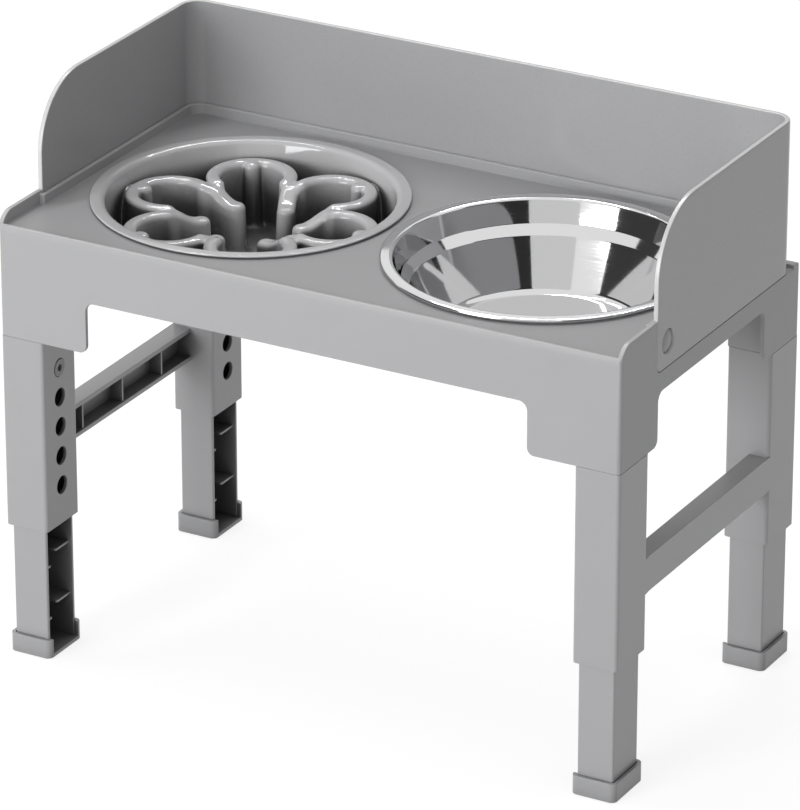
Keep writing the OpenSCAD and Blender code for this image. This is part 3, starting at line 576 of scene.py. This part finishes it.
# %% Turn the steel bowl
low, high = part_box("steel_bowl")
axis_x, axis_y = (low.x + high.x) / 2, (low.y + high.y) / 2
FLOOR_Z = low.z
RIM_R = (high.x - low.x) / 2
BOWL_DEPTH = 52 * MM
UPPER_DRAFT = 5.5 * MM
LEDGE_WIDTH = 5 * MM
LOWER_DRAFT = 14 * MM
LEDGE_DEPTH = 12.5 * MM
LEDGE_DROP = 6 * MM
SHEET = 1 * MM
BODY_R = 93.4 * MM
DECK_Z = FLOOR_Z + BOWL_DEPTH
ROLL = high.z - DECK_Z
STEP_R = BODY_R - UPPER_DRAFT
LEDGE_R = STEP_R - LEDGE_WIDTH
FOOT_R = LEDGE_R - LOWER_DRAFT
LEDGE_Z = DECK_Z - LEDGE_DEPTH
GAP_WIDTH = 3 * MM
GAP_HEIGHT = 0.8 * MM
steel_corners = [
    (0, FLOOR_Z, 0),
    (FOOT_R, FLOOR_Z, 7 * MM),
    (LEDGE_R, LEDGE_Z - LEDGE_DROP, 2.5 * MM),
    (STEP_R, LEDGE_Z, 3.5 * MM),
    (BODY_R, DECK_Z, 0),
    (RIM_R - GAP_WIDTH, DECK_Z, 0),
    (RIM_R - GAP_WIDTH + GAP_HEIGHT, DECK_Z + GAP_HEIGHT, 0),
    (RIM_R, DECK_Z + GAP_HEIGHT, 1.2 * MM),
    (RIM_R, DECK_Z + ROLL, 1.3 * MM),
    (BODY_R - SHEET, DECK_Z + ROLL, 2.6 * MM),
    (STEP_R - SHEET, LEDGE_Z + SHEET, 2.5 * MM),
    (LEDGE_R - SHEET, LEDGE_Z - LEDGE_DROP + SHEET, 3.5 * MM),
    (FOOT_R - SHEET, FLOOR_Z + SHEET, 6 * MM),
    (0, FLOOR_Z + SHEET, 0),
]
steel_bowl = turned("spun_steel_bowl", rounded_chain(steel_corners), axis_x, axis_y)
steel_bowl.data.materials.append(polished_steel)
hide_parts("steel_bowl")
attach(steel_bowl, "steel_dish")
print("steel bowl:", len(steel_bowl.data.polygons), "faces, rim", round(2 * RIM_R / MM), "mm")

# %% [markdown]
# ## The slow feeder's shell
#
# The other bowl is a glossy moulding with the same rim size. Its wall leans in
# towards the floor, so that it comes out of its mould, and its flange lies on the
# tray with a soft inner edge.

# %% Turn the shell
low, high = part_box("slow_feeder_bowl")
feeder_x, feeder_y = (low.x + high.x) / 2, (low.y + high.y) / 2
FLANGE_Z = high.z
WALL = 2.4 * MM
INNER_R = 91 * MM
INNER_FOOT_R = 82 * MM
shell_corners = [
    (0, FLOOR_Z, 0),
    (INNER_FOOT_R + WALL, FLOOR_Z, 4.9 * MM),
    (BODY_R, DECK_Z, 0),
    (RIM_R - GAP_WIDTH, DECK_Z, 0),
    (RIM_R - GAP_WIDTH + GAP_HEIGHT, DECK_Z + GAP_HEIGHT, 0),
    (RIM_R, DECK_Z + GAP_HEIGHT, 0.6 * MM),
    (RIM_R, FLANGE_Z, 0.9 * MM),
    (INNER_R, FLANGE_Z, 4 * MM),
    (INNER_FOOT_R, FLOOR_Z + WALL, 2.5 * MM),
    (0, FLOOR_Z + WALL, 0),
]
feeder_shell = turned("slow_feeder_shell", rounded_chain(shell_corners), feeder_x, feeder_y)
feeder_shell.data.materials.append(feeder_grey)
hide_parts("slow_feeder_bowl")
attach(feeder_shell, "slow_feeder")
print("feeder shell:", len(feeder_shell.data.polygons), "faces")

# %% [markdown]
# ## The slow feeder's maze
#
# Six lobes stand round the bowl like petals. Where two lobes meet, a spoke runs
# inwards, sinks and turns a little to one side, so that the dog's tongue has to
# work the food round it. All of it is one skin with soft blends, which boxes and
# bevels can't give. So the maze is described by a distance field: how far a point
# is from the walls' middle lines in plan, how high the wall is there, and a smooth
# minimum that melts the shapes together. A grid of values is then turned into a
# mesh by surface nets, which put one point in each cell that the skin crosses.
# Sizes here are in millimetres from the bowl's axis and its underside.

# %% Plan of the maze: middle lines and heights
LOBES = 6
LOBE_CENTRE = 58.3
LOBE_RADIUS = 24.4
LOBE_HALF_SWEEP = math.radians(115)
LOBE_HALF_WALL = 4.5
LOBE_TOP = 45.0
RIB_RADIUS = 5.4
SPOKE_HALF_WALL = 5.6
FORK = (50.5, 30.0)
SPOKE_BEND = (42.0, 28.0)
TIP = (32.0, 17.5)
TIP_DROP = 7.5
SPOKE_PIECES = 10
SPOKE_SINK = 1.5
SINK_RATE, SINK_DELAY = 1.15, 0.1
RIB_BLEND = 1.2
SPOKE_BLEND = 5.0
HEIGHT_BLEND = 10
FAR_AWAY = 1e9


def polar(spot, turn=0.0):
    angle = math.radians(spot[1] + turn)
    return np.array((spot[0] * math.cos(angle), spot[0] * math.sin(angle)))


def melt(a, b, k):
    h = np.clip(0.5 + 0.5 * (b - a) / k, 0, 1)
    return b + (a - b) * h - k * h * (1 - h)


def ease(t):
    t = np.clip(t, 0, 1)
    return t * t * (3 - 2 * t)


def spoke_distance(x, y, turn):
    a, b, c = polar(FORK, turn), polar(SPOKE_BEND, turn), polar(TIP, turn)
    ts = np.linspace(0, 1, SPOKE_PIECES + 1)
    points = [(1 - t) ** 2 * a + 2 * t * (1 - t) * b + t * t * c for t in ts]
    best = np.full(np.shape(x), FAR_AWAY)
    along = np.zeros(np.shape(x))
    for i in range(SPOKE_PIECES):
        p, q = points[i], points[i + 1]
        run = q - p
        s = np.clip(((x - p[0]) * run[0] + (y - p[1]) * run[1]) / (run @ run), 0, 1)
        d = np.hypot(x - p[0] - s * run[0], y - p[1] - s * run[1])
        near = d < best
        best = np.where(near, d, best)
        along = np.where(near, (i + s) / SPOKE_PIECES, along)
    return best, along


def maze_plan(x, y):
    sector = 2 * math.pi / LOBES
    turn = np.round(np.arctan2(y, x) / sector) * sector
    u = x * np.cos(turn) + y * np.sin(turn)
    v = y * np.cos(turn) - x * np.sin(turn)
    angle = np.arctan2(v, u - LOBE_CENTRE)
    held = np.clip(angle, -LOBE_HALF_SWEEP, LOBE_HALF_SWEEP)
    lobe = np.hypot(u - LOBE_CENTRE - LOBE_RADIUS * np.cos(held), v - LOBE_RADIUS * np.sin(held))
    lobe = lobe - LOBE_HALF_WALL
    rib = np.hypot(u - LOBE_CENTRE - LOBE_RADIUS + LOBE_HALF_WALL, v) - RIB_RADIUS
    lobe = melt(lobe, rib, RIB_BLEND)
    one, t_one = spoke_distance(u, v, 0)
    two, t_two = spoke_distance(u, v, -360 / LOBES)
    spoke = np.minimum(one, two) - SPOKE_HALF_WALL
    t = np.where(one < two, t_one, t_two)
    top = LOBE_TOP - SPOKE_SINK - TIP_DROP * ease(SINK_RATE * t - SINK_DELAY)
    share = ease(0.5 + (lobe - spoke) / HEIGHT_BLEND)
    height = LOBE_TOP * (1 - share) + top * share
    return melt(lobe, spoke, SPOKE_BLEND), height


print("maze:", LOBES, "lobes of", 2 * LOBE_RADIUS, "mm, with a spoke between each two")

# %% The distance field in space
EDGE_ROUND = 3.4
WALL_DRAFT = math.tan(math.radians(3))
FLOOR_RISE = 0.3
FLOOR_TOP = WALL / MM + FLOOR_RISE
SHELL_SLOPE = (INNER_R - INNER_FOOT_R) / (FLANGE_Z - FLOOR_Z - WALL)
FLOOR_BLEND = 5.0
SHELL_BLEND = 4.0
SINK = 0.5
SKIN_DEPTH = 3 * SINK


def shell_radius(z):
    return INNER_FOOT_R / MM + (z - FLOOR_TOP) * SHELL_SLOPE


def maze_field(x, y, z, plan=None):
    distance, height = maze_plan(x, y) if plan is None else plan
    side = distance - np.maximum(height - z, 0) * WALL_DRAFT + EDGE_ROUND
    above = z - height + EDGE_ROUND
    outside = np.hypot(np.maximum(side, 0), np.maximum(above, 0))
    walls = outside + np.minimum(np.maximum(side, above), 0) - EDGE_ROUND
    floor = z - FLOOR_TOP
    r = np.hypot(x, y)
    shell = shell_radius(z) + SINK - r
    skin = melt(melt(walls, floor, FLOOR_BLEND), shell, SHELL_BLEND)
    cut = np.maximum(r - shell_radius(z) - SKIN_DEPTH, FLOOR_TOP / 2 - z)
    return np.maximum(np.maximum(skin, cut), z - LOBE_TOP - EDGE_ROUND)


STEP = 1.0
GRID_HALF, GRID_TOP = 92, 51
reach = np.arange(-GRID_HALF, GRID_HALF + STEP, STEP)
rise = np.arange(0, GRID_TOP, STEP)
gx, gy = np.meshgrid(reach, reach, indexing="ij")
plan = maze_plan(gx, gy)
values = maze_field(
    gx[:, :, None], gy[:, :, None], rise[None, None, :], (plan[0][:, :, None], plan[1][:, :, None])
)
print("field:", values.shape, "values,", int((values < 0).sum()), "of them inside the plastic")

# %% Surface nets


def surface_net(values, origin, step):
    inside = values < 0
    cells = tuple(n - 1 for n in values.shape)
    total = np.zeros(cells + (3,))
    count = np.zeros(cells)
    for axis in range(3):
        others = [a for a in range(3) if a != axis]
        first = [slice(None)] * 3
        second = [slice(None)] * 3
        first[axis], second[axis] = slice(None, -1), slice(1, None)
        a, b = values[tuple(first)], values[tuple(second)]
        crossed = (a < 0) != (b < 0)
        where = np.where(crossed, a / np.where(crossed, a - b, 1), 0)
        for i in (0, 1):
            for j in (0, 1):
                pick = [slice(None)] * 3
                pick[others[0]] = slice(i, cells[others[0]] + i)
                pick[others[1]] = slice(j, cells[others[1]] + j)
                hit = crossed[tuple(pick)]
                count += hit
                total[..., axis] += np.where(hit, where[tuple(pick)], 0)
                total[..., others[0]] += hit * i
                total[..., others[1]] += hit * j
    used = count > 0
    index = np.full(cells, -1)
    index[used] = np.arange(int(used.sum()))
    corner = np.argwhere(used)
    points = (corner + total[used] / count[used][:, None]) * step + np.array(origin)
    quads = []
    for axis in range(3):
        b_axis, c_axis = [(1, 2), (2, 0), (0, 1)][axis]
        low = np.take(inside, np.arange(values.shape[axis] - 1), axis=axis)
        high = np.take(inside, np.arange(1, values.shape[axis]), axis=axis)
        edge = np.argwhere(low != high)
        edge = edge[(edge[:, b_axis] > 0) & (edge[:, c_axis] > 0)]
        edge = edge[(edge[:, b_axis] < cells[b_axis]) & (edge[:, c_axis] < cells[c_axis])]
        ring = []
        for db, dc in ((1, 1), (0, 1), (0, 0), (1, 0)):
            cell = edge.copy()
            cell[:, b_axis] -= db
            cell[:, c_axis] -= dc
            ring.append(index[tuple(cell.T)])
        quad = np.stack(ring, axis=1)
        outward = low[tuple(edge.T)]
        quad[~outward] = quad[~outward][:, ::-1]
        quads.append(quad)
    return points, np.concatenate(quads)


points, quads = surface_net(values, (reach[0], reach[0], rise[0]), STEP)
print("net:", len(points), "points and", len(quads), "faces")

# %% Draw the points onto the exact skin
NUDGE = 0.05
ROUNDS = 3
LEAST_STEEPNESS = 0.25
LONGEST_MOVE = 0.4 * STEP
for _ in range(ROUNDS):
    x, y, z = points.T
    here = maze_field(x, y, z)
    slope = np.stack(
        [
            maze_field(x + NUDGE, y, z) - maze_field(x - NUDGE, y, z),
            maze_field(x, y + NUDGE, z) - maze_field(x, y - NUDGE, z),
            maze_field(x, y, z + NUDGE) - maze_field(x, y, z - NUDGE),
        ],
        axis=1,
    ) / (2 * NUDGE)
    steepness = np.maximum((slope**2).sum(axis=1), LEAST_STEEPNESS)
    move = -(here / steepness)[:, None] * slope
    points = points + np.clip(move, -LONGEST_MOVE, LONGEST_MOVE)
maze_mesh = bpy.data.meshes.new("slow_feeder_maze")
maze_mesh.from_pydata((points * MM).tolist(), [], quads.tolist())
maze_mesh.update()
maze_mesh.shade_smooth()
maze = bpy.data.objects.new("slow_feeder_maze", maze_mesh)
maze.location = (feeder_x, feeder_y, FLOOR_Z)
scene.collection.objects.link(maze)
maze.data.materials.append(feeder_grey)
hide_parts(*[name for name in nodes if name.startswith("slow_feeder_lobe")])
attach(maze, "slow_feeder")
print("maze skin lies within", round(float(np.abs(maze_field(*points.T)).max()), 3), "mm of its field")

# %% [markdown]
# ## Floor and studio
#
# Product pictures like this are taken on a white sweep with large soft boxes. The
# floor is a wide plane whose white comes from its own material for the eye and for
# mirrors, so the lamps can stay at a plain level, and it still takes the object's
# shadow. The key light is low and in front, which makes the front of the stand the
# brightest side, the tray a little darker and the right end darker still. A strip
# overhead lifts the tray. A second strip shows only in glossy surfaces, where it
# draws the thin highlights on the slow feeder.

# %% White floor that keeps the shadow
FLOOR_HALF = 12.0
FLOOR_DROP = 0.5 * MM
PAPER_BOUNCE = 0.75
PAPER_SEEN = 0.34
PAPER_GLOW = 0.8


def seen_directly(tree):
    path = tree.nodes.new("ShaderNodeLightPath")
    first = tree.nodes.new("ShaderNodeMath")
    first.operation = "MAXIMUM"
    second = tree.nodes.new("ShaderNodeMath")
    second.operation = "MAXIMUM"
    tree.links.new(path.outputs["Is Camera Ray"], first.inputs[0])
    tree.links.new(path.outputs["Is Glossy Ray"], first.inputs[1])
    tree.links.new(first.outputs[0], second.inputs[0])
    tree.links.new(path.outputs["Is Transmission Ray"], second.inputs[1])
    return second.outputs[0]


floor_mesh = bpy.data.meshes.new("studio_floor")
floor_signs = ((-1, -1), (1, -1), (1, 1), (-1, 1))
floor_corners = [(FLOOR_HALF * sx, FLOOR_HALF * sy, 0) for sx, sy in floor_signs]
floor_mesh.from_pydata(floor_corners, [], [(0, 1, 2, 3)])
floor = bpy.data.objects.new("studio_floor", floor_mesh)
floor.location.z = -FLOOR_DROP
scene.collection.objects.link(floor)
paper = bpy.data.materials.new("white sweep")
paper.use_nodes = True
tree = paper.node_tree
tree.nodes.clear()
out = tree.nodes.new("ShaderNodeOutputMaterial")
plain = tree.nodes.new("ShaderNodeBsdfDiffuse")
plain.inputs["Color"].default_value = (PAPER_BOUNCE, PAPER_BOUNCE, PAPER_BOUNCE, 1)
shaded = tree.nodes.new("ShaderNodeBsdfDiffuse")
shaded.inputs["Color"].default_value = (PAPER_SEEN, PAPER_SEEN, PAPER_SEEN, 1)
glow = tree.nodes.new("ShaderNodeEmission")
glow.inputs["Strength"].default_value = PAPER_GLOW
white = tree.nodes.new("ShaderNodeAddShader")
choose = tree.nodes.new("ShaderNodeMixShader")
tree.links.new(shaded.outputs[0], white.inputs[0])
tree.links.new(glow.outputs[0], white.inputs[1])
tree.links.new(seen_directly(tree), choose.inputs[0])
tree.links.new(plain.outputs[0], choose.inputs[1])
tree.links.new(white.outputs[0], choose.inputs[2])
tree.links.new(choose.outputs[0], out.inputs["Surface"])
floor.data.materials.append(paper)
print("floor:", floor.dimensions[:2])

# %% White surroundings
AMBIENT = 0.42
BACKDROP = 1.0
world = bpy.data.worlds.new("studio")
scene.world = world
world.use_nodes = True
tree = world.node_tree
tree.nodes.clear()
out = tree.nodes.new("ShaderNodeOutputWorld")
soft = tree.nodes.new("ShaderNodeBackground")
soft.inputs["Strength"].default_value = AMBIENT
backdrop = tree.nodes.new("ShaderNodeBackground")
backdrop.inputs["Strength"].default_value = BACKDROP
for source in (soft, backdrop):
    source.inputs["Color"].default_value = (1, 1, 1, 1)
choose = tree.nodes.new("ShaderNodeMixShader")
tree.links.new(seen_directly(tree), choose.inputs[0])
tree.links.new(soft.outputs[0], choose.inputs[1])
tree.links.new(backdrop.outputs[0], choose.inputs[2])
tree.links.new(choose.outputs[0], out.inputs["Surface"])
print("surroundings at", AMBIENT, "for the light they give")

# %% Soft boxes
AIM = Vector((0, 0, 0.2))


def soft_box(title, spot, width, height, power):
    lamp = bpy.data.lights.new(title, "AREA")
    lamp.shape = "RECTANGLE"
    lamp.size = width
    lamp.size_y = height
    lamp.energy = power
    holder = bpy.data.objects.new(title, lamp)
    holder.location = spot
    holder.rotation_euler = (AIM - Vector(spot)).to_track_quat("-Z", "Y").to_euler()
    holder.visible_camera = False
    scene.collection.objects.link(holder)
    return holder


soft_box("front key", (-0.57, -2.35, 0.66), width=1.25, height=1.0, power=40)
soft_box("top strip", (-0.6, 0.3, 2.0), width=2.0, height=0.06, power=12)
sparkle = soft_box("sparkle strip", (-0.5, 1.0, 2.0), width=1.6, height=0.1, power=32)
sparkle.visible_diffuse = False

# %% [markdown]
# ## Cards for the steel
#
# Polished steel shows nothing but what stands around it, and in an all-white room
# it would look like paper. So tall cards stand in a ring round the stand: a grey one
# behind the camera, and dark ones to its right, to its left and at the back. They are
# not lit: each glows with its own grey, and shows only in mirrors, not to the camera,
# in diffuse light or in shadows. The bowl's far wall mirrors them as the upright
# bands that make the metal read as metal, so these bands are painted reflections.

# %% Cards for the steel to mirror
CARD_DISTANCE = 5.5
CARD_HEIGHT = 4.5
CARD_STEP = math.radians(5)
CARD_ROUGHNESS = 0.95


def around(azimuth, height):
    return (CARD_DISTANCE * math.sin(azimuth), -CARD_DISTANCE * math.cos(azimuth), height)


def card(title, first, last, grey):
    start, end = math.radians(first), math.radians(last)
    count = max(1, round((end - start) / CARD_STEP))
    turns = [start + (end - start) * k / count for k in range(count + 1)]
    mesh = bpy.data.meshes.new(title)
    points = [around(a, z) for a in turns for z in (0, CARD_HEIGHT)]
    mesh.from_pydata(points, [], [(2 * k, 2 * k + 2, 2 * k + 3, 2 * k + 1) for k in range(count)])
    # The card's grey is painted as its own glow, seen only in mirrors.
    mirror_glow = bpy.data.materials.new(title)
    mirror_glow.use_nodes = True
    shader = mirror_glow.node_tree.nodes["Principled BSDF"]
    shader.inputs["Base Color"].default_value = (0, 0, 0, 1)
    shader.inputs["Emission Color"].default_value = (grey, grey, grey, 1)
    shader.inputs["Emission Strength"].default_value = 1.0
    shader.inputs["Roughness"].default_value = CARD_ROUGHNESS
    mesh.materials.append(mirror_glow)
    piece = bpy.data.objects.new(title, mesh)
    piece.visible_camera = False
    piece.visible_diffuse = False
    piece.visible_shadow = False
    scene.collection.objects.link(piece)
    return piece


cards = [
    card("grey_card", first=1, last=41, grey=0.75),
    card("dark_card_right", first=41, last=95, grey=0.02),
    card("dark_card_back", first=128, last=165, grey=0.04),
    card("dark_card_left", first=275, last=330, grey=0.04),
]
print("cards:", [c.name for c in cards])

# %% [markdown]
# ## Camera
#
# The picture was taken from the front right and above with a long lens, which
# keeps the legs almost parallel. The angles and the distance were found by lining
# up the table's straight edges.

# %% Place the camera
AZIMUTH = math.radians(29.17)
ELEVATION = math.radians(24.02)
DISTANCE = 3.74877
FOCAL_PIXELS = 6040.0
LONG_SIDE_PIXELS = 810.0
SENSOR = 36.0
TARGET_HEIGHT = 0.18
TARGET_RIGHT, TARGET_DOWN = 0.000143, 0.00985
NEAREST, FARTHEST = 0.1, 60
back = Vector(
    (
        math.sin(AZIMUTH) * math.cos(ELEVATION),
        -math.cos(AZIMUTH) * math.cos(ELEVATION),
        math.sin(ELEVATION),
    )
)
right = Vector((math.cos(AZIMUTH), math.sin(AZIMUTH), 0))
up = back.cross(right)
target = Vector((0, 0, TARGET_HEIGHT)) + TARGET_RIGHT * right - TARGET_DOWN * up
lens = bpy.data.cameras.new("studio camera")
lens.sensor_width = SENSOR
lens.lens = FOCAL_PIXELS * SENSOR / LONG_SIDE_PIXELS
lens.clip_start, lens.clip_end = NEAREST, FARTHEST
camera = bpy.data.objects.new("studio camera", lens)
camera.location = target + back * DISTANCE
camera.rotation_euler = (-back).to_track_quat("-Z", "Y").to_euler()
scene.collection.objects.link(camera)
scene.camera = camera
scene.view_settings.view_transform = "Standard"
print("lens", round(lens.lens, 1), "mm at", DISTANCE, "m")
